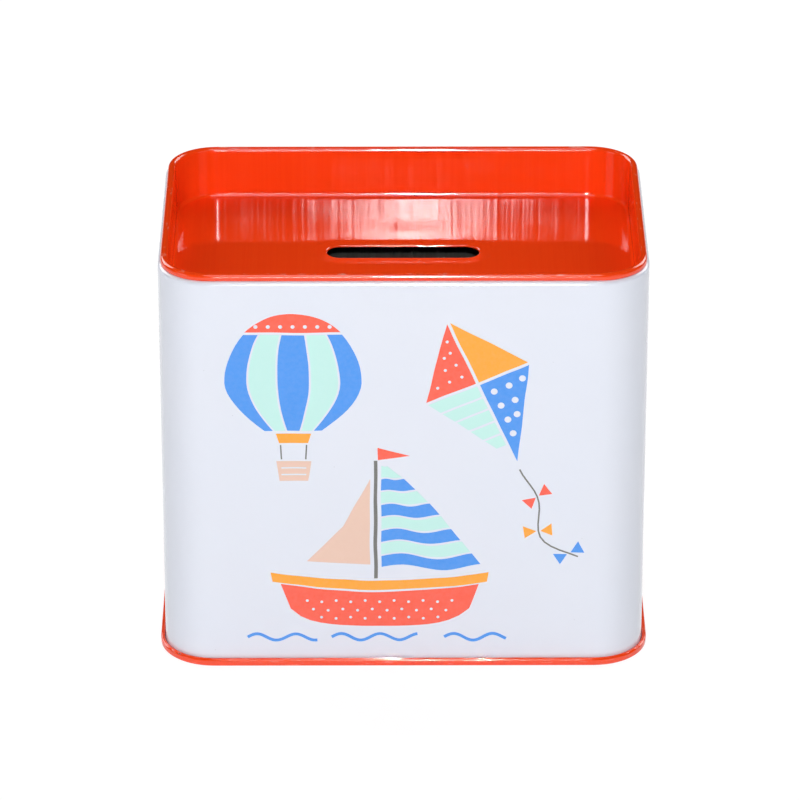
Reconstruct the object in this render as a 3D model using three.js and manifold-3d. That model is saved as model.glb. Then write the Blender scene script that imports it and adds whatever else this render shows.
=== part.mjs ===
// Tin money box: a lock-seamed body, a base seamed onto it, and a lid with the coin slot that plugs into its mouth.
// Millimetres, +Z up, front face towards -Y, origin on the standing surface under the middle of the box.

import * as THREE from 'three';
import { mergeVertices } from 'three/addons/utils/BufferGeometryUtils.js';
import Module from 'manifold-3d';

const wasm = await Module();
wasm.setup();

// Driving dimensions
const bodyWidth = 120; // over the outer faces of the wrapped sheet, left to right
const bodyDepth = 80; // the same, front to back
const overallHeight = 107; // standing surface to the top of the lid's rim
const cornerRadius = 12.5; // upright corners, at the outer face
const tin = 0.28; // lacquered tinplate

// Base and its double seam
const seamPlay = 0.12; // between two folded layers
const beadHeight = 2.1;
const standBend = 0.5; // the base's bends at the standing edge
const panelRise = 2.6; // from the standing surface to the underside of the base panel
const panelBend = 0.6;

// Rolled top edge of the body
const shoulderBend = 0.92;
const rollBend = 0.6;
const rollDrop = 1.5;
const rollGap = 0.3; // from the roll's raw edge to the wall

// Lid
const rimInset = 0.6; // rim to the outer face of the body
const rimRadius = 0.95;
const rimHeight = 1.8;
const rimTuckBend = 0.35;
const rimGap = 0.2; // from the rim's raw edge to the lid's wall
const plugPlay = 0.1; // lid's wall to the body's rolled edge
const trayDepth = 13.2; // top of the rim to the tray's floor
const trayBend = 1.1;

// Coin slot
const slotLength = 38;
const slotWidth = 7.4;
const slotCorner = 3.5;
const slotSetBack = 3.9; // behind the middle of the lid
const slotDishWidth = 3.3; // the floor dips round the slot
const slotDishDrop = 0.28;
const slotEdgeBend = 0.35;
const slotEdgeDrop = 0.36;

// Lock seam up the middle of the back
const lockWidth = 4;
const lockMargin = 1.5; // from its ends to the base panel and to the rolled edge

const lap = 0.5; // overlap of two shapes that are joined
const weld = 0.001; // points closer than this are one
const cornerSteps = 8;
const bendSteps = 3;

// Layers of folded sheet lie one spacing apart, and are counted outwards from the body's wall
const layer = tin + seamPlay;
const layerAt = (count) => count * layer - tin / 2;

const bodyTop = overallHeight - rimHeight;
const panelTop = panelRise + tin;
const beadTopLine = beadHeight - tin / 2;
const foldLine = tin / 2 + layer;
const rollTopLine = bodyTop - tin / 2;
const rollReach = rimInset + 2 * rimRadius - tin - plugPlay;
const floorTop = rimHeight - trayDepth; // in the lid's own frame, whose zero is its seat on the body

const bodyOutline = { halfWidth: bodyWidth / 2, halfDepth: bodyDepth / 2, radius: cornerRadius };
const slotOutline = { halfWidth: slotLength / 2, halfDepth: slotWidth / 2, radius: slotCorner };

// Middle line of a bent sheet: its points, each with the direction across the sheet.
// A corner is [outwards, up, bend radius], and its bend is an arc
function bentLine(corners) {
  const points = corners.map(([out, up]) => new THREE.Vector2(out, up));
  const legs = points.slice(1).map((point, i) => point.clone().sub(points[i]));
  const lengths = legs.map((leg) => leg.length());
  const turns = points.map((_, i) => {
    if (i === 0 || i === legs.length) return 0;
    return Math.atan2(legs[i - 1].cross(legs[i]), legs[i - 1].dot(legs[i]));
  });
  const reaches = corners.map(([, , bend = 0], i) => bend * Math.tan(Math.abs(turns[i]) / 2));
  const line = points.flatMap((point, i) => {
    const leg = legs[Math.max(i - 1, 0)];
    const across = new THREE.Vector2(-leg.y, leg.x).normalize();
    if (reaches[i] === 0) {
      const mitre = across.rotateAround(new THREE.Vector2(), turns[i] / 2).divideScalar(Math.cos(turns[i] / 2));
      return [{ point, across: mitre }];
    }
    // Two bends that share a leg shrink alike where it is too short for both
    const before = lengths[i - 1] / (reaches[i - 1] + reaches[i]);
    const after = lengths[i] / (reaches[i] + reaches[i + 1]);
    const fit = Math.min(1, before, after);
    const start = point.clone().addScaledVector(leg, (-fit * reaches[i]) / lengths[i - 1]);
    const centre = start.clone().addScaledVector(across, Math.sign(turns[i]) * fit * corners[i][2]);
    const angles = Array.from({ length: bendSteps + 1 }, (_, step) => (turns[i] * step) / bendSteps);
    return angles.map((angle) => ({
      point: start.clone().rotateAround(centre, angle),
      across: across.clone().rotateAround(new THREE.Vector2(), angle),
    }));
  });
  return line.filter(({ point }, i) => i === 0 || point.distanceTo(line[i - 1].point) > weld);
}

// Closed outline of a sheet of even thickness round its middle line
function sheetSection(corners) {
  const line = bentLine(corners);
  const left = line.map(({ point, across }) => point.clone().addScaledVector(across, tin / 2));
  const right = line.map(({ point, across }) => point.clone().addScaledVector(across, -tin / 2));
  const section = [...left, ...right.reverse()];
  return THREE.ShapeUtils.isClockWise(section) ? section.reverse() : section;
}

// Stations round an upright rounded rectangle, each with its corner's centre and its outward direction
function stationsOf({ halfWidth, halfDepth, radius }) {
  const quarters = [[1, 1], [-1, 1], [-1, -1], [1, -1]];
  return quarters.flatMap(([sideX, sideY], quarter) => {
    const centre = new THREE.Vector2(sideX * (halfWidth - radius), sideY * (halfDepth - radius));
    const angles = Array.from({ length: cornerSteps + 1 }, (_, step) => quarter + step / cornerSteps);
    return angles.map((turn) => {
      const angle = (turn * Math.PI) / 2;
      return { centre, outward: new THREE.Vector2(Math.cos(angle), Math.sin(angle)) };
    });
  });
}

// The rounded rectangle moved outwards by a distance
function outlineAt(outline, out) {
  const reach = outline.radius + out;
  return stationsOf(outline).map(({ centre, outward }) => centre.clone().addScaledVector(outward, reach));
}

// A bent sheet carried all the way round a rounded rectangle
function sweptSheet(corners, outline) {
  const section = sheetSection(corners);
  const rings = section.map((point) => outlineAt(outline, point.x));
  const stations = rings[0].length;
  const positions = [];
  const index = [];
  for (let s = 0; s < stations; s++) {
    for (let j = 0; j < section.length; j++) {
      positions.push(rings[j][s].x, rings[j][s].y, section[j].y);
      const here = s * section.length + j;
      const ahead = ((s + 1) % stations) * section.length + j;
      const hereNext = s * section.length + ((j + 1) % section.length);
      const aheadNext = ((s + 1) % stations) * section.length + ((j + 1) % section.length);
      index.push(here, ahead, aheadNext, here, aheadNext, hereNext);
    }
  }
  const geometry = new THREE.BufferGeometry();
  geometry.setAttribute('position', new THREE.Float32BufferAttribute(positions, 3));
  geometry.setIndex(index);
  return toSolid(geometry);
}

// A flat plate of sheet, between an outline and an optional hole, with its underside at a height
function flatSheet(edge, underside, hole) {
  const shape = new THREE.Shape(edge);
  if (hole) shape.holes.push(new THREE.Path(hole));
  const geometry = new THREE.ExtrudeGeometry(shape, { depth: tin, bevelEnabled: false });
  geometry.translate(0, 0, underside);
  return toSolid(geometry);
}

// A closed mesh as a solid that can be joined and cut
function toSolid(geometry) {
  geometry.deleteAttribute('normal');
  geometry.deleteAttribute('uv');
  const merged = mergeVertices(geometry, weld);
  const vertProperties = new Float32Array(merged.attributes.position.array);
  const triVerts = new Uint32Array(merged.index.array);
  return new wasm.Manifold(new wasm.Mesh({ numProp: 3, vertProperties, triVerts }));
}

// A solid as a named mesh
function toMesh(name, solid, material) {
  const { vertProperties, triVerts } = solid.getMesh();
  const geometry = new THREE.BufferGeometry();
  geometry.setAttribute('position', new THREE.BufferAttribute(vertProperties, 3));
  geometry.setIndex(new THREE.BufferAttribute(triVerts, 1));
  geometry.computeVertexNormals();
  const mesh = new THREE.Mesh(geometry, material);
  mesh.name = name;
  return mesh;
}

// Lock seam: each end of the wrapped sheet is folded back and hooked into the other, flush with the outer face
const lockBottom = panelTop + lockMargin;
const lockTop = rollTopLine - rollDrop - tin / 2 - lockMargin;
const lockStep = lockWidth / 2 + layer; // where the second end steps inwards, past the first end's fold
const lockRight = lockStep + layer + lap;
const depthOf = (count) => bodyDepth / 2 + layerAt(-count);

function lockHook(corners) {
  const shape = new THREE.Shape(sheetSection(corners));
  const depth = lockTop - lockBottom + 2 * lap;
  const geometry = new THREE.ExtrudeGeometry(shape, { depth, bevelEnabled: false });
  geometry.translate(0, 0, lockBottom - lap);
  return toSolid(geometry);
}

function lockWindow() {
  const geometry = new THREE.BoxGeometry(lockRight, tin + 2 * lap, lockTop - lockBottom);
  geometry.translate(lockRight / 2, depthOf(0), (lockTop + lockBottom) / 2);
  return toSolid(geometry);
}

function lockSeamed(wall) {
  const outerEnd = lockHook([
    [-lap, depthOf(0)],
    [lockWidth / 2, depthOf(0), layer],
    [lockWidth / 2, depthOf(2), layer],
    [layer - lockWidth / 2, depthOf(2)],
  ]);
  const innerEnd = lockHook([
    [lockRight + lap, depthOf(0)],
    [lockStep, depthOf(0), layer],
    [lockStep, depthOf(3), layer],
    [-lockWidth / 2, depthOf(3), layer],
    [-lockWidth / 2, depthOf(1), layer],
    [lockWidth / 2 - layer, depthOf(1)],
  ]);
  return wall.subtract(lockWindow()).add(outerEnd).add(innerEnd);
}

// Body: hooked out and up at the bottom, straight walls, and an edge rolled inwards at the top
function printedBody() {
  const wall = sweptSheet([
    [layerAt(2), beadTopLine - layer],
    [layerAt(2), foldLine, layer],
    [layerAt(0), foldLine, layer],
    [layerAt(0), rollTopLine, shoulderBend],
    [tin / 2 - rollReach, rollTopLine, rollBend],
    [tin / 2 - rollReach, rollTopLine - rollDrop, rollBend],
    [-tin - rollGap, rollTopLine - rollDrop],
  ], bodyOutline);
  return lockSeamed(wall);
}

// Base: a raised panel, a wall inside the body, and an edge wrapped over the body's bottom hook
function seamedBase() {
  const panelEdge = layerAt(-1) - panelBend;
  const rim = sweptSheet([
    [panelEdge - lap, panelTop - tin / 2],
    [layerAt(-1), panelTop - tin / 2, panelBend],
    [layerAt(-1), tin / 2, standBend],
    [layerAt(3), tin / 2, standBend],
    [layerAt(3), beadTopLine, layer],
    [layerAt(1), beadTopLine, layer],
    [layerAt(1), foldLine + layer],
  ], bodyOutline);
  return rim.add(flatSheet(outlineAt(bodyOutline, panelEdge), panelRise));
}

// Edge of the coin slot: the floor dips towards it and turns down
function slotEdge() {
  const floorLine = floorTop - tin / 2;
  return sweptSheet([
    [slotDishWidth + lap, floorLine],
    [slotDishWidth, floorLine],
    [tin / 2, floorLine - slotDishDrop, slotEdgeBend],
    [tin / 2, floorLine - slotDishDrop - slotEdgeDrop],
  ], slotOutline).translate(0, slotSetBack, 0);
}

// Lid: a tray whose wall plugs into the body and whose rim is rolled outwards onto it
function slottedLid() {
  const wallLine = tin / 2 - rimInset - 2 * rimRadius;
  const floorEdge = wallLine - trayBend;
  const rimLine = -rimInset - tin / 2;
  const rimBend = rimRadius - tin / 2;
  const wall = sweptSheet([
    [floorEdge - lap, floorTop - tin / 2],
    [wallLine, floorTop - tin / 2, trayBend],
    [wallLine, rimHeight - tin / 2, rimBend],
    [rimLine, rimHeight - tin / 2, rimBend],
    [rimLine, tin / 2, rimTuckBend],
    [wallLine + tin / 2 + rimGap, tin / 2],
  ], bodyOutline);
  const hole = outlineAt(slotOutline, slotDishWidth);
  hole.forEach((point) => point.setY(point.y + slotSetBack));
  const floor = flatSheet(outlineAt(bodyOutline, floorEdge), floorTop - tin, hole);
  return wall.add(floor).add(slotEdge());
}

const whiteLacquer = new THREE.MeshStandardMaterial({ color: '#e9edf5', roughness: 0.25, metalness: 0 });
const orangeLacquer = new THREE.MeshStandardMaterial({ color: '#e8410f', roughness: 0.2, metalness: 0 });

const moneyBox = new THREE.Group();
const lid = toMesh('slotted_lid', slottedLid(), orangeLacquer);
lid.position.z = bodyTop;
moneyBox.add(toMesh('printed_body', printedBody(), whiteLacquer));
moneyBox.add(toMesh('seamed_base', seamedBase(), orangeLacquer));
moneyBox.add(lid);

export default moneyBox;
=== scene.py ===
import cmath
import math

import bpy
import numpy as np
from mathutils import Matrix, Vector, noise
from mathutils.geometry import delaunay_2d_cdt


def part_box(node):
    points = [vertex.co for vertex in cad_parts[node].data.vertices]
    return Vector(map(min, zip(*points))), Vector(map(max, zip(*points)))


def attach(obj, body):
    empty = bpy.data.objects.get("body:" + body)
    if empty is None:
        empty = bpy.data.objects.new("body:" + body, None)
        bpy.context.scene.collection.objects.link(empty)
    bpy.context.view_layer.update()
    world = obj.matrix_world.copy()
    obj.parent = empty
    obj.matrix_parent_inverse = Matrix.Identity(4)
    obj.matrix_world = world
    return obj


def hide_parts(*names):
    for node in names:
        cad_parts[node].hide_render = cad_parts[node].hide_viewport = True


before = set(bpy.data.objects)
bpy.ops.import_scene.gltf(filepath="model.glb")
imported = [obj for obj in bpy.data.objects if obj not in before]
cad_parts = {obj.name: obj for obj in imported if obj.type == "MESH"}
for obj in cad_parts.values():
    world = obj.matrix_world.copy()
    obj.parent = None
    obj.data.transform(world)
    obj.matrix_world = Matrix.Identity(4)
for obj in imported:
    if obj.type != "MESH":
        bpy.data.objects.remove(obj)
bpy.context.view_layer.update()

mm = 0.001


# helpers

def linear(hexColour):
    # sRGB hex to the linear colour that the shaders want
    parts = [int(hexColour[i:i + 2], 16) / 255 for i in (0, 2, 4)]
    return [p / 12.92 if p <= 0.04045 else ((p + 0.055) / 1.055) ** 2.4 for p in parts] + [1]


def addNode(tree, kind, settings=None, inputs=None):
    # an input takes a value, or another node's output to be linked to
    node = tree.nodes.new(kind)
    for name, value in (settings or {}).items():
        setattr(node, name, value)
    for name, value in (inputs or {}).items():
        if isinstance(value, bpy.types.NodeSocket):
            tree.links.new(value, node.inputs[name])
        else:
            node.inputs[name].default_value = value
    return node


def newMaterial(name):
    material = bpy.data.materials.new(name)
    material.use_nodes = True
    tree = material.node_tree
    return material, tree, tree.nodes["Principled BSDF"]


def smoothStep(low, high, value):
    t = np.clip((value - low) / (high - low), 0, 1)
    return t * t * (3 - 2 * t)


# camera: a long lens well above the lid, as in the photograph
camera = {
    "lens": 234,  # mm, on a 36 mm sensor
    "distance": 1.314,
    "azimuth": -0.2,  # degrees
    "elevation": 26.15,
    "target": (-0.8 * mm, 0, 54 * mm),
    "nearest": 0.05,
    "farthest": 50,
}


def aimAtTarget(obj, azimuth, elevation, distance):
    # angles in degrees; azimuth 0 stands in front of the box, and a positive one to its right
    a, e = math.radians(azimuth), math.radians(elevation)
    back = Vector((math.sin(a) * math.cos(e), -math.cos(a) * math.cos(e), math.sin(e)))
    obj.location = Vector(camera["target"]) + back * distance
    obj.rotation_mode = "QUATERNION"
    obj.rotation_quaternion = (-back).to_track_quat("-Z", "Y")
    bpy.context.scene.collection.objects.link(obj)


def makeCamera():
    data = bpy.data.cameras.new("camera")
    data.lens = camera["lens"]
    data.clip_start = camera["nearest"]
    data.clip_end = camera["farthest"]
    obj = bpy.data.objects.new("camera", data)
    aimAtTarget(obj, camera["azimuth"], camera["elevation"], camera["distance"])
    bpy.context.scene.camera = obj


makeCamera()
print("camera made")


# studio: white paper, a small flash just above the camera, soft lamps, and black felt round them all
studio = {
    "paperColour": "F4F4F4",
    "paperRough": 0.9,
    "paperRadius": 4.0,
    "paperGlow": 0.78,  # share of plain white in what the camera sees of the paper
    "glowStrength": 1.12,
    "ambient": 0.22,
    "lamps": [
        # name, azimuth, elevation, distance, width, height, watts
        ("flash", 0.6, 28.0, 1.9, 0.03, 0.025, 15.0),
        ("lowLamp", 0, 11, 1.6, 0.22, 0.1, 3.9),
        ("highLamp", 0, 62, 1.5, 0.5, 0.4, 3.2),
        ("leftLamp", -62, 16, 1.45, 0.6, 0.6, 1.9),
        ("rightLamp", 38, 16, 1.45, 0.6, 0.6, 0.8),
        ("backLeftLamp", -138, 30, 1.6, 0.9, 0.9, 12.0),
        ("backRightLamp", 138, 30, 1.6, 0.9, 0.9, 12.0),
    ],
    "feltColour": "1E1D1C",
    "felt": [(2.0, 0.05), (2.0, 1.8), (0.1, 2.6)],  # radius and height of the tent's rings
    "ringSteps": {"paper": 96, "felt": 48},
}


def circle(radius, height, count):
    angles = [2 * math.pi * i / count for i in range(count)]
    return [(radius * math.cos(a), radius * math.sin(a), height) for a in angles]


def seenDirectly(tree):
    # 1 for rays from the camera and for those that gloss or glass sends on
    path = addNode(tree, "ShaderNodeLightPath").outputs
    first = addNode(tree, "ShaderNodeMath", {"operation": "MAXIMUM"},
                    {0: path["Is Camera Ray"], 1: path["Is Glossy Ray"]})
    both = addNode(tree, "ShaderNodeMath", {"operation": "MAXIMUM"},
                   {0: first.outputs[0], 1: path["Is Transmission Ray"]})
    return both.outputs[0]


def makePaper():
    count = studio["ringSteps"]["paper"]
    mesh = bpy.data.meshes.new("paper")
    mesh.from_pydata(circle(studio["paperRadius"], 0, count), [], [list(range(count))])
    paper = bpy.data.objects.new("paper", mesh)
    bpy.context.scene.collection.objects.link(paper)
    # matt white background paper, part of it glowing so that it stays white and the shadow soft
    material, tree, surface = newMaterial("mattWhitePaper")
    surface.inputs["Base Color"].default_value = linear(studio["paperColour"])
    surface.inputs["Roughness"].default_value = studio["paperRough"]
    surface.inputs["Specular IOR Level"].default_value = 0
    glow = addNode(tree, "ShaderNodeEmission", None, {"Strength": studio["glowStrength"]})
    share = addNode(tree, "ShaderNodeMath", {"operation": "MULTIPLY"},
                    {0: seenDirectly(tree), 1: studio["paperGlow"]})
    mixed = addNode(tree, "ShaderNodeMixShader", None,
                    {0: share.outputs[0], 1: surface.outputs[0], 2: glow.outputs[0]})
    tree.links.new(mixed.outputs[0], tree.nodes["Material Output"].inputs["Surface"])
    mesh.materials.append(material)


def makeFelt():
    # hangs round and over the set, so that glossy faces reflect dark, as in the photograph
    # the camera looks through it
    count = studio["ringSteps"]["felt"]
    points = [point for radius, height in studio["felt"] for point in circle(radius, height, count)]
    faces = [(low + i, low + (i + 1) % count, low + (i + 1) % count + count, low + i + count)
             for low in range(0, len(points) - count, count) for i in range(count)]
    mesh = bpy.data.meshes.new("felt")
    mesh.from_pydata(points, [], faces)
    felt = bpy.data.objects.new("felt", mesh)
    bpy.context.scene.collection.objects.link(felt)
    felt.visible_camera = False
    # black wool felt: dull, takes almost all light
    material, _, surface = newMaterial("blackWoolFelt")
    surface.inputs["Base Color"].default_value = linear(studio["feltColour"])
    surface.inputs["Roughness"].default_value = 1
    surface.inputs["Specular IOR Level"].default_value = 0
    mesh.materials.append(material)


def makeWorld():
    # plain white where the camera or a reflection sees it, but only a weak light on the set
    world = bpy.data.worlds.new("whiteRoom")
    world.use_nodes = True
    tree = world.node_tree
    tree.nodes.clear()
    plain = (1, 1, 1, 1)
    soft = addNode(tree, "ShaderNodeBackground", None, {"Color": plain, "Strength": studio["ambient"]})
    white = addNode(tree, "ShaderNodeBackground", None, {"Color": plain, "Strength": 1})
    mixed = addNode(tree, "ShaderNodeMixShader", None,
                    {0: seenDirectly(tree), 1: soft.outputs[0], 2: white.outputs[0]})
    addNode(tree, "ShaderNodeOutputWorld", None, {"Surface": mixed.outputs[0]})
    bpy.context.scene.world = world


def makeLamps():
    for name, azimuth, elevation, distance, width, height, watts in studio["lamps"]:
        data = bpy.data.lights.new(name, "AREA")
        data.shape = "RECTANGLE"
        data.size = width
        data.size_y = height
        data.energy = watts
        lamp = bpy.data.objects.new(name, data)
        lamp.visible_camera = False
        aimAtTarget(lamp, azimuth, elevation, distance)


makePaper()
makeFelt()
makeWorld()
makeLamps()
bpy.context.scene.view_settings.view_transform = "Standard"
print("studio made")


# finishes of the sheet
finish = {
    "white": "E2E7F3",
    "whiteCloud": "E5E8F2",
    "cloudSize": 30 * mm,
    "whiteRough": (0.08, 0.14),
    "whiteGrain": 0.5,  # share of the sheet's grain that shows through
    "speck": "6B6B66",
    "speckStrength": 0.3,
    "speckSpacing": 6 * mm,
    "speckSize": 0.1 * mm,
    "orange": "FE4914",
    "orangeDeep": "F94110",
    "orangeRough": (0.015, 0.085),
    "orangeGrain": 1,
    "haze": 0.015,
    "hazeRough": 0.12,
    "scuff": "FFB39A",
    "scuffSize": (4 * mm, 4 * mm, 0.3 * mm),
    "scuffSpan": (0.62, 0.72),  # noise values between which a scratch sets in
    "scuffStrength": 0.55,
    "scuffBelow": 2.6 * mm,  # scuffs lie on the foot seam, below this height,
    "scuffAbove": 106.3 * mm,  # and along the top of the rim, above this one
    "tin": "C6C7C4",
    "tinDark": "A9AAA7",
    "tinRough": (0.28, 0.42),
    "ior": 1.6,  # stoved epoxy lacquer
    "patchSize": 9 * mm,
    "noiseSpan": (0.36, 0.64),  # between these lie most values of a noise pattern
    "peelSize": 1.4 * mm,  # ripple of a stoved lacquer
    "peelHeight": 0.0008 * mm,
    "grainWidth": 0.5 * mm,  # rolling marks of the sheet, drawn a little coarser than real ones
    "grainLength": 60 * mm,
    "grainHeight": 0.001 * mm,
}


def placeOn(tree, width, length=None):
    # place on the piece, counted in pattern widths; length draws the pattern out along depth and height
    place = addNode(tree, "ShaderNodeTexCoord")
    scale = (1 / width, 1 / (length or width), 1 / (length or width))
    return addNode(tree, "ShaderNodeMapping", None,
                   {"Vector": place.outputs["Object"], "Scale": scale}).outputs["Vector"]


def rollingLines(tree, detail=3):
    # the fine lines that rolling leaves in the sheet
    place = placeOn(tree, finish["grainWidth"], finish["grainLength"])
    return addNode(tree, "ShaderNodeTexNoise", None,
                   {"Vector": place, "Scale": 1, "Detail": detail}).outputs["Fac"]


def lacquerShine(tree, surface, roughness, grainShare):
    # clear stoved film: wet shine with the slow ripple called orange peel, slightly duller in soft patches
    # and along the sheet's rolling lines, which show through it
    patches = addNode(tree, "ShaderNodeTexNoise", None,
                      {"Vector": placeOn(tree, finish["patchSize"]), "Scale": 1, "Detail": 3})
    lines = rollingLines(tree)
    lineWeight = 2 * grainShare
    dull = addNode(tree, "ShaderNodeMath", {"operation": "MULTIPLY_ADD"},
                   {0: lines, 1: lineWeight, 2: patches.outputs["Fac"]})
    least, most = [value * (1 + lineWeight) for value in finish["noiseSpan"]]
    rough = addNode(tree, "ShaderNodeMapRange", None,
                    {"Value": dull.outputs[0], "From Min": least, "From Max": most,
                     "To Min": roughness[0], "To Max": roughness[1]})
    peel = addNode(tree, "ShaderNodeTexNoise", None,
                   {"Vector": placeOn(tree, finish["peelSize"]), "Scale": 1, "Detail": 1})
    bump = addNode(tree, "ShaderNodeBump", None,
                   {"Strength": 1, "Distance": finish["peelHeight"], "Height": peel.outputs["Fac"]})
    rolled = addNode(tree, "ShaderNodeBump", None,
                     {"Strength": grainShare, "Distance": finish["grainHeight"], "Height": lines})
    tree.links.new(rolled.outputs["Normal"], bump.inputs["Normal"])
    surface.inputs["IOR"].default_value = finish["ior"]
    tree.links.new(rough.outputs["Result"], surface.inputs["Roughness"])
    tree.links.new(bump.outputs["Normal"], surface.inputs["Normal"])


def whiteLacquer():
    # white base coat under clear varnish: clean, cool white with a few pinhead specks
    material, tree, surface = newMaterial("whiteStovedLacquer")
    clouds = addNode(tree, "ShaderNodeTexNoise", None,
                     {"Vector": placeOn(tree, finish["cloudSize"]), "Scale": 1, "Detail": 2})
    coat = addNode(tree, "ShaderNodeMix", {"data_type": "RGBA"},
                   {0: clouds.outputs["Fac"], 6: linear(finish["white"]), 7: linear(finish["whiteCloud"])})
    cells = addNode(tree, "ShaderNodeTexVoronoi", None,
                    {"Vector": placeOn(tree, finish["speckSpacing"]), "Scale": 1})
    speck = addNode(tree, "ShaderNodeMath", {"operation": "LESS_THAN"},
                    {0: cells.outputs["Distance"], 1: finish["speckSize"] / finish["speckSpacing"]})
    faint = addNode(tree, "ShaderNodeMath", {"operation": "MULTIPLY"},
                    {0: speck.outputs[0], 1: finish["speckStrength"]})
    specked = addNode(tree, "ShaderNodeMix", {"data_type": "RGBA"},
                      {0: faint.outputs[0], 6: coat.outputs[2], 7: linear(finish["speck"])})
    tree.links.new(specked.outputs[2], surface.inputs["Base Color"])
    lacquerShine(tree, surface, finish["whiteRough"], finish["whiteGrain"])
    return material


def orangeLacquer():
    # orange stoved lacquer on rolled sheet: deep, wet-looking colour whose highlights break into fine lines
    material, tree, surface = newMaterial("orangeStovedLacquer")
    coat = addNode(tree, "ShaderNodeMix", {"data_type": "RGBA"},
                   {0: rollingLines(tree), 6: linear(finish["orangeDeep"]), 7: linear(finish["orange"])})
    # handling scuffs: short pale scratches, only on the foot seam and along the top of the rim
    place = addNode(tree, "ShaderNodeTexCoord")
    height = addNode(tree, "ShaderNodeSeparateXYZ", None, {"Vector": place.outputs["Object"]})
    onFoot = addNode(tree, "ShaderNodeMath", {"operation": "LESS_THAN"},
                     {0: height.outputs["Z"], 1: finish["scuffBelow"]})
    onRim = addNode(tree, "ShaderNodeMath", {"operation": "GREATER_THAN"},
                    {0: height.outputs["Z"], 1: finish["scuffAbove"]})
    onEdge = addNode(tree, "ShaderNodeMath", {"operation": "ADD"},
                     {0: onFoot.outputs[0], 1: onRim.outputs[0]})
    scale = [1 / size for size in finish["scuffSize"]]
    marks = addNode(tree, "ShaderNodeMapping", None, {"Vector": place.outputs["Object"], "Scale": scale})
    scratches = addNode(tree, "ShaderNodeTexNoise", None,
                        {"Vector": marks.outputs["Vector"], "Scale": 1, "Detail": 4})
    least, most = finish["scuffSpan"]
    worn = addNode(tree, "ShaderNodeMapRange", None,
                   {"Value": scratches.outputs["Fac"], "From Min": least, "From Max": most,
                    "To Max": finish["scuffStrength"]})
    scuffed = addNode(tree, "ShaderNodeMath", {"operation": "MULTIPLY"},
                      {0: worn.outputs[0], 1: onEdge.outputs[0]})
    shown = addNode(tree, "ShaderNodeMix", {"data_type": "RGBA"},
                    {0: scuffed.outputs[0], 6: coat.outputs[2], 7: linear(finish["scuff"])})
    tree.links.new(shown.outputs[2], surface.inputs["Base Color"])
    lacquerShine(tree, surface, finish["orangeRough"], finish["orangeGrain"])
    # a trace of haze, which spreads a faint glow round each highlight
    surface.inputs["Coat Weight"].default_value = finish["haze"]
    surface.inputs["Coat Roughness"].default_value = finish["hazeRough"]
    return material


def bareTin():
    # tinplate under clear lacquer, as the inside of the box: pale grey, well blurred, finely lined
    material, tree, surface = newMaterial("clearLacqueredTinplate")
    lines = rollingLines(tree, detail=4)
    metal = addNode(tree, "ShaderNodeMix", {"data_type": "RGBA"},
                    {0: lines, 6: linear(finish["tinDark"]), 7: linear(finish["tin"])})
    smoothest, roughest = finish["tinRough"]
    rough = addNode(tree, "ShaderNodeMapRange", None,
                    {"Value": lines, "To Min": smoothest, "To Max": roughest})
    rolled = addNode(tree, "ShaderNodeBump", None,
                     {"Strength": 1, "Distance": finish["grainHeight"], "Height": lines})
    surface.inputs["Metallic"].default_value = 1
    tree.links.new(metal.outputs[2], surface.inputs["Base Color"])
    tree.links.new(rough.outputs["Result"], surface.inputs["Roughness"])
    tree.links.new(rolled.outputs["Normal"], surface.inputs["Normal"])
    return material


whiteCoat = whiteLacquer()
orangeCoat = orangeLacquer()
plainTin = bareTin()
print("finishes made")


# bent sheet: a section folded from one strip, carried round a rounded rectangle
sheet = {
    "tin": 0.28 * mm,
    "play": 0.12 * mm,  # between folded layers
    "cornerSteps": 32,
    "bendSteps": 8,
    "sideStep": 4 * mm,
    "nearSteps": 8,  # stations close together beside each corner
    "nearStep": 0.12,  # their distance, as a share of sideStep
    "ease": 0.14,  # share of a corner's radius over which its curve sets in
    "sharpAngle": 50,  # degrees; shading breaks at sharper edges
}
tin = sheet["tin"]
layer = tin + sheet["play"]


def layerAt(count):
    # middle of a folded layer, counted outwards from the body's wall
    return count * layer - tin / 2


def bentLine(corners, longest):
    # corners are (outwards, up, bend radius); gives (point, direction across the sheet), as complex numbers
    points = [complex(c[0], c[1]) for c in corners]
    bends = [c[2] if len(c) > 2 else 0 for c in corners]
    legs = [b - a for a, b in zip(points, points[1:])]
    turns = [0] + [cmath.phase(b / a) for a, b in zip(legs, legs[1:])] + [0]
    steps = sheet["bendSteps"]
    line = []
    for i, point in enumerate(points):
        ahead = legs[max(i - 1, 0)] / abs(legs[max(i - 1, 0)])
        across = ahead * 1j
        if bends[i]:
            start = point - ahead * bends[i] * math.tan(abs(turns[i]) / 2)
            centre = start + across * math.copysign(bends[i], turns[i])
            spins = [cmath.exp(1j * turns[i] * k / steps) for k in range(steps + 1)]
            stops = [(centre + (start - centre) * spin, across * spin) for spin in spins]
        else:
            stops = [(point, across * cmath.exp(0.5j * turns[i]) / math.cos(turns[i] / 2))]
        if line:
            gap = stops[0][0] - line[-1][0]
            if abs(gap) < 1e-7:
                stops = stops[1:]
            runs = math.ceil(abs(gap) / longest)
            last = line[-1]
            line += [(last[0] + gap * k / runs, last[1]) for k in range(1, runs)]
        line += stops
    return line


def sideShares(length, extra=()):
    # where the stations of one straight side lie, as shares of it, without its ends
    runs = max(2, round(length / sheet["sideStep"]))
    even = [k / runs for k in range(2, runs - 1)]
    near = [sheet["nearStep"] * k * sheet["sideStep"] / length for k in range(1, sheet["nearSteps"] + 1)]
    return sorted({*even, *near, *(1 - share for share in near), *extra})


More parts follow.
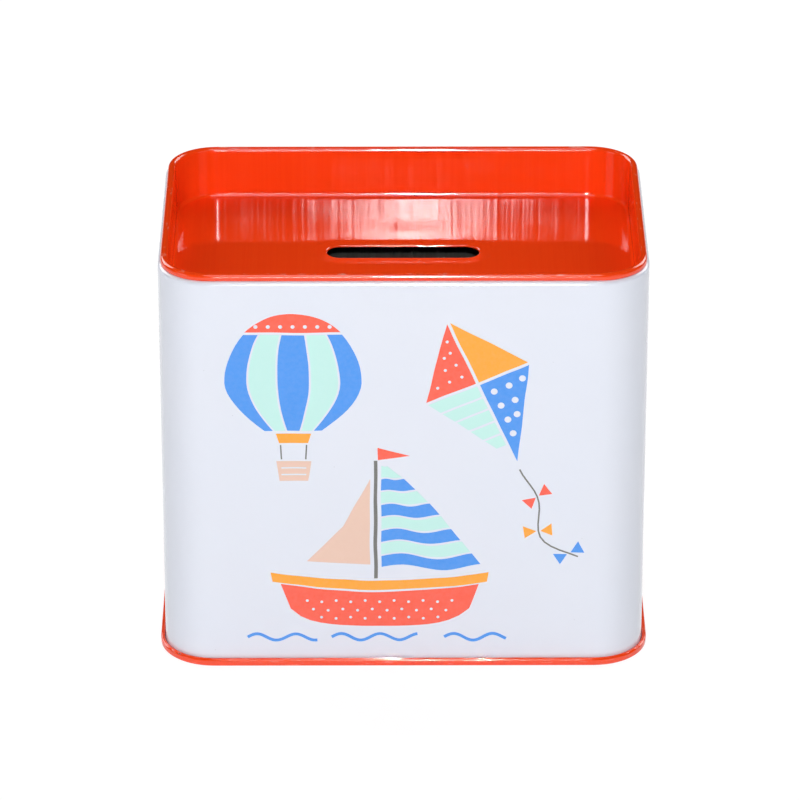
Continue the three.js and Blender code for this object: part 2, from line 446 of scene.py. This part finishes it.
def stations(outline, shares):
    # centre and outward direction of each station, anticlockwise from +X
    halfX, halfY, radius = outline
    signs = [(1, 1), (-1, 1), (-1, -1), (1, -1)]
    middles = [np.array([signX * (halfX - radius), signY * (halfY - radius)]) for signX, signY in signs]
    quarterTurn = math.pi / 2
    centres, outwards, pasts = [], [], []
    for q, centre in enumerate(middles):
        nextCentre = middles[(q + 1) % 4]
        for k in range(sheet["cornerSteps"] + 1):
            turned = k / sheet["cornerSteps"]
            angle = (q + turned) * quarterTurn
            centres.append(centre)
            outwards.append([math.cos(angle), math.sin(angle)])
            pasts.append(min(turned, 1 - turned) * quarterTurn * radius)
        length = np.linalg.norm(nextCentre - centre)
        for share in shares[q]:
            centres.append(centre + (nextCentre - centre) * share)
            outwards.append(outwards[-1])
            pasts.append(-min(share, 1 - share) * length)
    return np.array(centres), np.array(outwards), easedIn(np.array(pasts), radius)


def easedIn(past, radius):
    # how far a point moves inwards so that the curve of a corner sets in gently
    # past is the point's way beyond the end of the straight side
    reach = sheet["ease"] * radius
    s = np.clip(past, -reach, reach)
    return (s + reach) ** 3 / (12 * reach * radius) - np.clip(s, 0, reach) ** 2 / (2 * radius)


def ringAt(outline, shares, out, up):
    # points of one ring, at a distance out from the outline and at one height
    centres, outwards, eased = stations(outline, shares)
    plan = centres + outwards * (outline[2] + out - eased)[:, None]
    return np.column_stack([plan, np.full(len(plan), up)])


def sheetRings(corners, outline, shares, coatedSide, longest):
    # rings of points along the coated face and along the bare face of the strip
    faces = []
    for side in (coatedSide, -coatedSide):
        stops = [point + side * across * tin / 2 for point, across in bentLine(corners, longest)]
        faces.append([ringAt(outline, shares, stop.real, stop.imag) for stop in stops])
    return faces


def between(first, last, count):
    # rings that change evenly from one ring into another
    return [first + (last - first) * k / (count + 1) for k in range(1, count + 1)]


def ringMesh(name, rings, slots, closed=True):
    # skin over rings of points; slots gives the material of each band between a ring and the next
    points = np.concatenate(rings)
    count = len(rings[0])
    bands = len(rings) if closed else len(rings) - 1
    faces, materials = [], []
    for band in range(bands):
        low, high = band * count, (band + 1) % len(rings) * count
        for s in range(count):
            t = (s + 1) % count
            faces.append((low + s, low + t, high + t, high + s))
            materials.append(slots[band])
    if not closed:
        last = (len(rings) - 1) * count
        faces.append(tuple(reversed(range(count))))
        faces.append(tuple(range(last, last + count)))
        materials += [slots[0], slots[-1]]
    mesh = bpy.data.meshes.new(name)
    mesh.from_pydata(points.tolist(), [], faces)
    mesh.polygons.foreach_set("material_index", materials)
    return makePiece(name, mesh)


def makePiece(name, mesh):
    mesh.polygons.foreach_set("use_smooth", [True] * len(mesh.polygons))
    mesh.validate()
    mesh.update()
    mesh.set_sharp_from_angle(angle=math.radians(sheet["sharpAngle"]))
    piece = bpy.data.objects.new(name, mesh)
    bpy.context.scene.collection.objects.link(piece)
    return piece


def facedOutwards(piece):
    # turns a closed mesh right side out, by its signed volume
    mesh = piece.data
    mesh.calc_loop_triangles()
    corners = np.array([v.co for v in mesh.vertices])
    triangles = np.array([t.vertices for t in mesh.loop_triangles])
    a, b, c = (corners[triangles[:, i]] for i in range(3))
    if np.einsum("ij,ij->i", a, np.cross(b, c)).sum() < 0:
        mesh.flip_normals()
    weighted = piece.modifiers.new("evenShading", "WEIGHTED_NORMAL")
    weighted.keep_sharp = True


# body: one printed sheet, hooked at the bottom, rolled inwards at the top, lock-seamed up the back
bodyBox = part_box("printed_body")
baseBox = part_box("seamed_base")
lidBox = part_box("slotted_lid")
bodyShape = {
    "outReach": 2 * layer,  # how far its bottom hook stands out
    "corner": 12.5 * mm,
    "shoulderBend": 0.92 * mm,
    "rollBend": 0.6 * mm,
    "rollReach": 2.12 * mm,
    "rollDrop": 1.5 * mm,
    "rollGap": 0.3 * mm,
    "lockWidth": 4 * mm,
    "lockMargin": 1.5 * mm,
    "lockFade": 0.6 * mm,  # over which the seam sets in at its two ends
    "grooveRound": 0.54 * mm,
    "grooveDepth": 0.42 * mm,
    "ridgeFade": 0.2 * mm,
    "pillow": 0.14 * mm,  # outward swell of the flat walls
    "fullSwell": (0.35, 0.72),  # shares of the height between which it is full
    "wave": 0.05 * mm,
    "waveSize": 45 * mm,
}
halfWidth = bodyBox[1].x - bodyShape["outReach"]
halfDepth = bodyBox[1].y - bodyShape["outReach"]
bodyTop = bodyBox[1].z
beadTop = 2.1 * mm
panelTop = baseBox[1].z
foldLine = tin / 2 + layer
bodyOutline = (halfWidth, halfDepth, bodyShape["corner"])
grooveX = bodyShape["lockWidth"] / 2 + layer / 2
lockLow = panelTop + bodyShape["lockMargin"]
lockHigh = bodyTop - tin - bodyShape["rollDrop"] - bodyShape["lockMargin"]


def backShares():
    # extra stations across the seam, close together in its groove; offsets in mm
    offsets = [0, 0.05, 0.09, 0.15, 0.24, 0.36, 0.5, 0.62]
    places = [grooveX + sign * offset * mm for offset in offsets for sign in (1, -1)]
    edges = [-bodyShape["lockWidth"] / 2 - tin / 2, grooveX + layer]
    places += [edge + step * mm for edge in edges for step in (-0.25, 0, 0.25)]
    straight = halfWidth - bodyShape["corner"]
    return [(straight - place) / (2 * straight) for place in places]


sideWidth = 2 * (halfWidth - bodyShape["corner"])
sideDepth = 2 * (halfDepth - bodyShape["corner"])
plainShares = [sideShares(sideWidth), sideShares(sideDepth), sideShares(sideWidth), sideShares(sideDepth)]
seamShares = [sideShares(sideWidth, backShares())] + plainShares[1:]


def swell(x, y, z):
    # how far the wall stands out at a point: it is stiff at its corners and ends, and springs out between
    height = (z - beadTop) / (bodyTop - beadTop)
    fullLow, fullHigh = bodyShape["fullSwell"]
    upward = smoothStep(0, fullLow, height) * smoothStep(1, fullHigh, height)
    frontOrBack = np.abs(y) > halfDepth - 2 * mm
    across = np.where(frontOrBack,
                      1 - np.clip(np.abs(x) / (sideWidth / 2), 0, 1) ** 2,
                      1 - np.clip(np.abs(y) / (sideDepth / 2), 0, 1) ** 2)
    size = bodyShape["waveSize"]
    uneven = [noise.noise(Vector((a / size, b / size, c / size))) for a, b, c in zip(x, y, z)]
    return upward * across * (bodyShape["pillow"] + bodyShape["wave"] * np.array(uneven))


def lockShare(z):
    # 1 where the lock seam is pressed together, 0 beyond its two ends
    fade = bodyShape["lockFade"]
    return smoothStep(lockLow - fade, lockLow, z) * smoothStep(lockHigh + fade, lockHigh, z)


def grooveAt(x):
    # depth of the groove between the two folded ends
    away = np.abs(x - grooveX) - sheet["play"] / 2
    r = bodyShape["grooveRound"]
    inside = np.clip(r - away, 0, r)
    return np.minimum(r - np.sqrt(np.maximum(r * r - inside * inside, 0)), bodyShape["grooveDepth"])


def ridgeAt(x):
    # height of the folded layers, which stand inwards
    left = -bodyShape["lockWidth"] / 2 - tin / 2
    right = grooveX + layer
    fade = bodyShape["ridgeFade"]
    return 3 * layer * smoothStep(left - fade, left, x) * smoothStep(right + fade, right, x)


def shapeWall(ring, coated):
    outwards = stations(bodyOutline, seamShares)[1]
    x, y, z = ring.T
    out = swell(x, y, z)
    # the lock seam is pressed only into the middle of the back wall
    back = (outwards[:, 1] > 0.999) & (np.abs(x) < 6 * mm) & (np.abs(y - halfDepth) < 0.5 * mm)
    pressed = lockShare(z) * (grooveAt(x) if coated else ridgeAt(x))
    out = out - np.where(back, pressed, 0)
    ring[:, :2] += outwards * out[:, None]
    return ring


def makeBody():
    hookTop = beadTop - tin / 2 - layer
    topLine = bodyTop - tin / 2
    rollLine = tin / 2 - bodyShape["rollReach"]
    rollLow = topLine - bodyShape["rollDrop"]
    corners = [
        (layerAt(2), hookTop),
        (layerAt(2), foldLine, layer),
        (layerAt(0), foldLine, layer),
        (layerAt(0), topLine, bodyShape["shoulderBend"]),
        (rollLine, topLine, bodyShape["rollBend"]),
        (rollLine, rollLow, bodyShape["rollBend"]),
        (-tin - bodyShape["rollGap"], rollLow),
    ]
    coated, bare = sheetRings(corners, bodyOutline, seamShares, -1, 3 * mm)
    coated = [shapeWall(ring, True) for ring in coated]
    bare = [shapeWall(ring, False) for ring in bare]
    slots = [0] * (len(coated) - 1) + [1] * (len(bare) + 1)
    piece = ringMesh("lockSeamedBody", coated + bare[::-1], slots)
    piece.data.materials.append(whiteCoat)
    piece.data.materials.append(plainTin)
    facedOutwards(piece)
    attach(piece, "box")
    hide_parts("printed_body")


makeBody()
print("body made")


# print: flat litho inks on the front, each colour its own thin film with bare white between the shapes
printing = {
    "colours": {
        "coral": "FF5537",
        "amber": "FFA50F",
        "blue": "3A93F0",
        "mint": "C2EFE8",
        "peach": "EBC6B3",
        "grey": "6A6A66",
    },
    "proud": 0.03 * mm,  # real ink is thinner; this much keeps its edge crisp
    "sunk": 0.02 * mm,  # depth of the film's underside in the wall
    "mottleSize": 0.9 * mm,
    "mottle": 0.06,  # share of white where the ink lies thin
    # the drawings count plain millimetres, from the middle of the front's lower edge
    "gap": 0.5,  # bare white between two colours
    "wobble": 0.22,  # hand-drawn unevenness of every edge
    "wobbleSize": 7,
    "wobbleSeed": 7,
    "edgeStep": 1.2,
    "dotCorners": 14,
    "meshSize": 4,
    "balloon": (-27, 80),
    "kite": (18, 78),
    "boat": (-6, 11),
}
inks = {name: [] for name in printing["colours"]}
# Blender seeds its vector noise by the clock; a fixed seed draws the same edges in every run
noise.seed_set(printing["wobbleSeed"])


def drawn(colour, points):
    # adds a closed outline; one inside another leaves a hole
    size, amount = printing["wobbleSize"], printing["wobble"]
    outline = []
    for (u, v), (nextU, nextV) in zip(points, points[1:] + points[:1]):
        runs = max(1, math.ceil(math.hypot(nextU - u, nextV - v) / printing["edgeStep"]))
        for k in range(runs):
            a, b = u + (nextU - u) * k / runs, v + (nextV - v) * k / runs
            shift = noise.noise_vector(Vector((a / size, b / size, 0.5)))
            outline.append((a + amount * shift.x, b + amount * shift.y))
    inks[colour].append(outline)


def dot(colour, u, v, radius):
    inks[colour].append([(u + x, v + y) for x, y, _ in circle(radius, 0, printing["dotCorners"])])


def stroke(colour, points, width):
    # a pen line with square ends
    left, right = [], []
    for i, (u, v) in enumerate(points):
        before, after = points[max(i - 1, 0)], points[min(i + 1, len(points) - 1)]
        along = complex(after[0] - before[0], after[1] - before[1])
        side = along / abs(along) * 1j * width / 2
        left.append((u + side.real, v + side.imag))
        right.append((u - side.real, v - side.imag))
    drawn(colour, right + left[::-1])


def balloonHalf(height):
    # half width of the envelope, height from -1 at its mouth to 1 at its crown; widest at -0.1
    if height > -0.1:
        return math.sqrt(max(0, 1 - ((height + 0.1) / 1.1) ** 2))
    return 1 - 0.76 * ((-height - 0.1) / 0.9) ** 1.7


def drawBalloon():
    u0, v0 = printing["balloon"]
    radius, gap = 17, printing["gap"]
    edges = [-1, -0.66, -0.24, 0.24, 0.66, 1]
    colours = ["blue", "mint", "blue", "mint", "blue"]
    rises = [-0.86 + 1.52 * k / 18 for k in range(19)]
    for colour, leftEdge, rightEdge in zip(colours, edges, edges[1:]):
        left = [(u0 + radius * balloonHalf(r) * leftEdge + gap / 2, v0 + radius * r) for r in rises]
        right = [(u0 + radius * balloonHalf(r) * rightEdge - gap / 2, v0 + radius * r) for r in rises]
        drawn(colour, left + right[::-1])
    # the cap starts at height 0.7, and even steps of its angle make its top round
    start = math.asin(0.8 / 1.1)
    crown = [1.1 * math.sin(start + (math.pi / 2 - start) * k / 12) - 0.1 for k in range(13)]
    left = [(u0 - radius * balloonHalf(r), v0 + radius * r) for r in crown]
    right = [(u0 + radius * balloonHalf(r), v0 + radius * r) for r in crown[:-1]]
    drawn("coral", left + right[::-1])
    for k in range(-3, 4):
        dot("coral", u0 + 3 * k, v0 + radius * 0.79, 0.5)
    drawn("amber", [(u0 - 4.4, v0 - 15.4), (u0 + 4.4, v0 - 15.4), (u0 + 3.6, v0 - 18), (u0 - 3.6, v0 - 18)])
    for side in (-1, 1):
        stroke("grey", [(u0 + side * 3.2, v0 - 18.5), (u0 + side * 2.9, v0 - 22.5)], 0.35)
    drawn("peach", [(u0 - 4.2, v0 - 23), (u0 + 4.2, v0 - 23), (u0 + 3.5, v0 - 28.4), (u0 - 3.5, v0 - 28.4)])
    for rise in (-24.9, -26.7):
        stroke("peach", [(u0 - 3, v0 + rise), (u0 + 3, v0 + rise)], 0.4)


def drawKite():
    u0, v0 = printing["kite"]
    size, tilt = 1.1, 0.42

    def at(u, v):
        place = complex(u0, v0) + size * complex(u, v) * cmath.exp(1j * tilt)
        return (place.real, place.imag)

    g = 0.7 * printing["gap"]  # bare white on each side of the two sticks
    top, left, right, low = 17, -13, 13, -22
    drawn("coral", [at(-g, g), at(-g, top - 2 * g), at(left + 2 * g, g)])
    drawn("amber", [at(g, g), at(right - 2 * g, g), at(g, top - 2 * g)])
    drawn("blue", [at(g, -g), at(g, low + 2.4 * g), at(right - 2 * g, -g)])
    for level in range(5):
        a = -g - level * 3.3
        b = a - 2.8
        far, near = left * (1 + a / -low) + 2 * g, left * (1 + b / -low) + 2 * g
        drawn("mint", [at(-g, a), at(far, a), at(near, b), at(-g, b)])
    onBlue = [(2.6, -3.2), (6.2, -3.2), (9.6, -2.8), (2.6, -7), (6, -7),
              (2.6, -10.8), (5, -10.4), (2.3, -14.4)]
    for u, v in onBlue:
        dot("blue", *at(u, v), 0.85)
    onCoral = [(-2.5, 3), (-5.5, 3), (-8.5, 2.7), (-2.5, 6.2), (-5.2, 6),
               (-2.5, 9.4), (-4.2, 8.8), (-2, 12.2)]
    for u, v in onCoral:
        dot("coral", *at(u, v), 0.4)
    tail = [at(0.25 * k * math.sin(0.45 * k), low - 1.2 - 1.6 * k) for k in range(17)]
    stroke("grey", tail, 0.4)
    bow = [(0.5, 0), (3.6, 1.7), (3.4, -1.7)]
    for colour, knot, lean in (("coral", 5, 0.7), ("amber", 10, 0.1), ("blue", 15, 0.5)):
        u, v = tail[knot]
        for side in (-1, 1):
            spun = [complex(side * a, b) * cmath.exp(1j * lean) for a, b in bow]
            drawn(colour, [(u + p.real, v + p.imag) for p in spun])


def drawBoat():
    u0, v0 = printing["boat"]
    gap = printing["gap"]
    steps = [k / 20 for k in range(21)]
    deck = [(u0 - 27 + 54 * t, v0 + 15 - 9 * t * (1 - t)) for t in steps]
    rail = [(u, v - 2.6) for u, v in deck]
    drawn("amber", deck + [(u * 0.985 + u0 * 0.015, v) for u, v in rail[::-1]])
    brink = [(u0 - 24.6 + 49.2 * t, v0 + 11.8 - 9 * t * (1 - t)) for t in steps]
    keel = [(u0 - 24.6 + 49.2 * t, v0 + 11.8 - 11.8 * (1 - (2 * t - 1) ** 4) ** 0.5) for t in steps]
    drawn("coral", brink + keel[::-1])
    for count, width, rise in ((11, 36, 7), (10, 33, 4.6), (9, 29, 2.3)):
        for k in range(count):
            height = v0 + rise - (0.25 if k % 2 else -0.1)
            dot("coral", u0 - width / 2 + width * k / (count - 1), height, 0.38)
    stroke("grey", [(u0 - 1, v0 + 13.4), (u0 - 1, v0 + 25), (u0 - 1, v0 + 46)], 0.9)
    foot, head = v0 + 16.5, v0 + 45
    strips = 8
    across = [j / 18 for j in range(19)]

    def leech(v):
        t = (v - foot) / (head - foot)
        return u0 + 1 + 24 * (1 - t) ** 0.8

    for k in range(strips):
        a, b = foot + (head - foot) * k / strips, foot + (head - foot) * (k + 1) / strips - gap
        belly = 0.8 * (1 - k / strips)
        under, over = [[(u0 + 0.4 + (leech(v) - u0 - 0.4) * t, v + belly * math.sin(2.4 * math.pi * t))
                        for t in across] for v in (a, b)]
        drawn("mint" if k % 2 else "blue", under + over[::-1])
    drawn("peach", [(u0 - 2.4, v0 + 17.2), (u0 - 2.4, v0 + 41), (u0 - 9, v0 + 28), (u0 - 18, v0 + 18.2)])
    drawn("coral", [(u0 - 0.4, v0 + 46.2), (u0 + 7.5, v0 + 47.4), (u0 - 0.4, v0 + 49.6)])
    for start, count in ((-33, 9), (-12, 11), (16, 8)):
        line = [(u0 + start + 0.5 * k, v0 - 3.2 + 0.9 * math.sin(k * 0.325)) for k in range(4 * count)]
        stroke("blue", line, 0.8)


def insideOf(points, outlines):
    # for each point, whether it lies in an odd number of outlines
    inside = np.zeros(len(points), bool)
    px, py = points[:, 0], points[:, 1]
    for outline in outlines:
        ends = np.array(outline)
        for (ax, ay), (bx, by) in zip(ends, np.roll(ends, -1, 0)):
            if ay != by:
                crosses = (ay > py) != (by > py)
                inside ^= crosses & (px < ax + (py - ay) * (bx - ax) / (by - ay))
    return inside


def frontPoint(u, v, lift):
    # place of a drawn point on the swollen front wall
    x, z = u * mm, v * mm
    out = swell(np.array([x]), np.array([-halfDepth]), np.array([z]))[0]
    return (x, -halfDepth - out - lift, z)


def makeInk(colour):
    outlines = inks[colour]
    points, edges = [], []
    for outline in outlines:
        first, count = len(points), len(outline)
        points += outline
        edges += [(first + k, first + (k + 1) % count) for k in range(count)]
    # points of a grid inside the outlines let the film follow the wall
    ends = np.array(points)
    step = printing["meshSize"]
    grid = np.array([(u, v) for u in np.arange(ends[:, 0].min(), ends[:, 0].max(), step)
                     for v in np.arange(ends[:, 1].min(), ends[:, 1].max(), step)])
    points += [tuple(p) for p in grid[insideOf(grid, outlines)]]
    flat, _, faces, *_ = delaunay_2d_cdt([Vector(p) for p in points], edges, [], 0, 1e-4)
    flat = np.array([tuple(p) for p in flat])
    middles = np.array([flat[list(face)].mean(0) for face in faces])
    faces = [face for face, kept in zip(faces, insideOf(middles, outlines)) if kept]
    # what lies inside gets a top, an underside and edges
    used = sorted({i for face in faces for i in face})
    place = {old: new for new, old in enumerate(used)}
    faces = [tuple(place[i] for i in face) for face in faces]
    count = len(used)
    top = [frontPoint(*flat[i], printing["proud"]) for i in used]
    under = [frontPoint(*flat[i], -printing["sunk"]) for i in used]
    sides = {(a, b) for face in faces for a, b in zip(face, face[1:] + face[:1])}
    rims = [(b, a, a + count, b + count) for a, b in sides if (b, a) not in sides]
    skin = faces + [tuple(i + count for i in reversed(face)) for face in faces] + rims
    mesh = bpy.data.meshes.new(colour + "Ink")
    mesh.from_pydata(top + under, [], skin)
    piece = makePiece(colour + "Ink", mesh)
    # litho ink under the same varnish as the white: flat, even colour with a trace of mottle
    material, tree, surface = newMaterial(colour + "LithoInk")
    solid = linear(printing["colours"][colour])
    thin = [part + (1 - part) * printing["mottle"] for part in solid[:3]] + [1]
    mottle = addNode(tree, "ShaderNodeTexNoise", None,
                     {"Vector": placeOn(tree, printing["mottleSize"]), "Scale": 1, "Detail": 3})
    tone = addNode(tree, "ShaderNodeMix", {"data_type": "RGBA"},
                   {0: mottle.outputs["Fac"], 6: solid, 7: thin})
    tree.links.new(tone.outputs[2], surface.inputs["Base Color"])
    lacquerShine(tree, surface, finish["whiteRough"], finish["whiteGrain"])
    mesh.materials.append(material)
    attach(piece, "box")


drawBalloon()
drawKite()
drawBoat()
for inkName in inks:
    makeInk(inkName)
print("print made")


# base: a raised panel whose edge is wrapped over the body's hook, with the crimps of the seaming rolls
baseShape = {
    "standBend": 0.5 * mm,
    "panelBend": 0.6 * mm,
    "crimpLength": 3.4 * mm,
    "crimp": 0.14 * mm,
    "unevenWall": 0.04 * mm,
    "unevenTop": 0.22 * mm,
    "unevenSize": 6 * mm,
    "panelMiddle": (6 * mm, 4 * mm, 2 * mm),  # outline of the last face, in the middle of the panel
    "panelRings": 8,
    "nicks": [
        # x, y, depth, width: where the roll began and ended, and small knocks in the upper edge
        (-56.6 * mm, -37.6 * mm, 0.18 * mm, 1 * mm),
        (-39 * mm, -40.6 * mm, 0.2 * mm, 0.6 * mm),
        (-33 * mm, -40.6 * mm, 0.16 * mm, 0.4 * mm),
        (3 * mm, -40.6 * mm, 0.16 * mm, 0.5 * mm),
        (46 * mm, -40.4 * mm, 0.22 * mm, 0.5 * mm),
        (56.8 * mm, -37.4 * mm, 0.2 * mm, 0.8 * mm),
        (57 * mm, 37 * mm, 0.3 * mm, 0.7 * mm),
        (-30 * mm, 40.6 * mm, 0.2 * mm, 0.5 * mm),
    ],
}


def crimped(ring):
    # the roll leaves ripples at the corners and an uneven upper edge all round
    outwards = stations(bodyOutline, plainShares)[1]
    steps = np.linalg.norm(np.diff(ring[:, :2], axis=0, prepend=ring[-1:, :2]), axis=1)
    along = np.cumsum(steps)
    cornered = 1 - np.abs(np.abs(outwards[:, 0] * outwards[:, 1]) * 2 - 1)
    ripples = np.sin(along / baseShape["crimpLength"] * 2 * math.pi) * cornered
    size = baseShape["unevenSize"]
    uneven = np.array([noise.noise(Vector((p[0] / size, p[1] / size, 3.7))) for p in ring])
    raised = smoothStep(1.2 * mm, beadTop, ring[:, 2])
    inward = baseShape["crimp"] * (0.5 + 0.5 * ripples) * cornered
    inward += baseShape["unevenWall"] * np.abs(uneven)
    ring[:, :2] -= outwards * (inward * raised)[:, None]
    ring[:, 2] -= baseShape["unevenTop"] * (0.5 + uneven).clip(0, 1) * raised
    for x, y, depth, width in baseShape["nicks"]:
        away = np.hypot(ring[:, 0] - x, ring[:, 1] - y)
        nick = depth * np.exp(-(away / width) ** 2) * raised
        ring[:, 2] -= nick
        ring[:, :2] -= outwards * (0.5 * nick)[:, None]
    return ring


def makeBase():
    panelLine = panelTop - tin / 2
    panelEdge = layerAt(-1) - 2 * baseShape["panelBend"]
    topLine = beadTop - tin / 2
    corners = [
        (panelEdge, panelLine),
        (layerAt(-1), panelLine, baseShape["panelBend"]),
        (layerAt(-1), tin / 2, baseShape["standBend"]),
        (layerAt(3), tin / 2, baseShape["standBend"]),
        (layerAt(3), topLine, layer),
        (layerAt(1), topLine, layer),
        (layerAt(1), foldLine + layer),
    ]
    coated, bare = sheetRings(corners, bodyOutline, plainShares, -1, 1 * mm)
    # the roll only touches the outer wall of the fold
    coated = [crimped(ring) if ring[0, 0] > halfWidth + 2 * layer else ring for ring in coated]
    middle, count = baseShape["panelMiddle"], baseShape["panelRings"]
    under = ringAt(middle, plainShares, 0, panelTop - tin)
    over = ringAt(middle, plainShares, 0, panelTop)
    rings = [under] + between(under, coated[0], count) + coated
    slots = [0] * (len(rings) - 1)
    rings += bare[::-1] + between(bare[0], over, count) + [over]
    slots += [1] * (len(rings) - 1 - len(slots))
    piece = ringMesh("seamedPanBase", rings, slots, closed=False)
    piece.data.materials.append(orangeCoat)
    piece.data.materials.append(plainTin)
    facedOutwards(piece)
    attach(piece, "box")
    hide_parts("seamed_base")


makeBase()
print("base made")


# lid: a tray with a rolled rim outside and the coin slot in its floor
lidShape = {
    "rimInset": 0.6 * mm,
    "rimRadius": 0.95 * mm,
    "tuckBend": 0.35 * mm,
    "rimGap": 0.2 * mm,
    "trayDepth": 13.2 * mm,
    "trayBend": 1.1 * mm,
    "draft": 0.2 * mm,  # how much narrower the tray is at its floor
    "slotHalf": (19 * mm, 3.7 * mm),
    "slotCorner": 3.5 * mm,
    "slotBack": 3.9 * mm,  # behind the middle
    "dishWidth": 3.3 * mm,
    "dishDrop": 0.28 * mm,
    "dishBend": 5 * mm,
    "dishShift": 0.9 * mm,  # the dish is wider in front of the slot than behind it
    "dishEnd": 1.6,  # where the bent rings end, as a share of dishWidth
    "edgeBend": 0.35 * mm,
    "edgeDrop": 0.36 * mm,
    "floorRings": 14,
    "floorSag": 0.03 * mm,
    "wave": 0.01 * mm,  # unevenness of the drawn floor and walls, which bends their reflections
    "waveSize": 24 * mm,
    "waveFade": (1 * mm, 5 * mm),  # distances from floor and rim over which the wall's wave sets in
    "dents": [
        # x, y, depth, radius: shallow hollows left by handling, seen only in the reflections
        (-30 * mm, 20 * mm, 0.07 * mm, 9 * mm),
        (33 * mm, 20 * mm, 0.06 * mm, 10 * mm),
        (-12 * mm, -17 * mm, 0.04 * mm, 8 * mm),
    ],
}


def waveAt(points, size, seed):
    return np.array([noise.noise(Vector((p[0] / size, p[1] / size, p[2] / size + seed))) for p in points])


def makeLid():
    top = lidBox[1].z
    floorLine = top - lidShape["trayDepth"] - tin / 2
    wallLine = tin / 2 - lidShape["rimInset"] - 2 * lidShape["rimRadius"]
    rimLine = -lidShape["rimInset"] - tin / 2
    rimBend = lidShape["rimRadius"] - tin / 2
    dip = floorLine - lidShape["dishDrop"]
    slotCorners = [
        (tin / 2, dip - lidShape["edgeDrop"]),
        (tin / 2, dip, lidShape["edgeBend"]),
        (lidShape["dishWidth"], floorLine, lidShape["dishBend"]),
        (lidShape["dishEnd"] * lidShape["dishWidth"], floorLine),
    ]
    wallCorners = [
        (wallLine - 3 * lidShape["trayBend"], floorLine),
        (wallLine - lidShape["draft"], floorLine, lidShape["trayBend"]),
        (wallLine, top - tin / 2, rimBend),
        (rimLine, top - tin / 2, rimBend),
        (rimLine, bodyTop + tin / 2, lidShape["tuckBend"]),
        (wallLine + tin / 2 + lidShape["rimGap"], bodyTop + tin / 2),
    ]
    slotOutline = (*lidShape["slotHalf"], lidShape["slotCorner"])
    slotFaces = sheetRings(slotCorners, slotOutline, plainShares, 1, 1 * mm)
    wallFaces = sheetRings(wallCorners, bodyOutline, plainShares, 1, 3 * mm)
    wave, waveSize = lidShape["wave"], lidShape["waveSize"]
    fadeStart, fadeEnd = lidShape["waveFade"]
    outwards = stations(bodyOutline, plainShares)[1]
    faces = []
    for slotRings, wallRings in zip(slotFaces, wallFaces):
        for ring in slotRings:
            away = ring[:, 0].max() - lidShape["slotHalf"][0]
            forward = lidShape["dishShift"] * smoothStep(tin, lidShape["dishWidth"], away)
            ring[:, 1] += lidShape["slotBack"] - forward
        count = lidShape["floorRings"]
        floorRings = between(slotRings[-1], wallRings[0], count)
        for k, ring in enumerate(floorRings):
            free = math.sin(math.pi * (k + 1) / (count + 1)) ** 2
            ring[:, 2] -= free * (lidShape["floorSag"] + wave * waveAt(ring, waveSize, 1.3))
            for x, y, depth, radius in lidShape["dents"]:
                away = np.hypot(ring[:, 0] - x, ring[:, 1] - y)
                ring[:, 2] -= depth * np.exp(-(away / (0.6 * radius)) ** 2)
        for ring in wallRings:
            free = smoothStep(floorLine + fadeStart, floorLine + fadeEnd, ring[0, 2])
            free *= smoothStep(top - fadeStart, top - fadeEnd, ring[0, 2])
            waved = wave * free * waveAt(ring, waveSize, 4.1)
            ring[:, :2] += outwards * waved[:, None]
        faces.append(slotRings + floorRings + wallRings)
    coated, bare = faces
    slots = [0] * (len(coated) - 1) + [1] * (len(bare) + 1)
    piece = ringMesh("slottedTrayLid", coated + bare[::-1], slots)
    piece.data.materials.append(orangeCoat)
    piece.data.materials.append(plainTin)
    facedOutwards(piece)
    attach(piece, "lid")
    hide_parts("slotted_lid")


makeLid()
print("lid made")
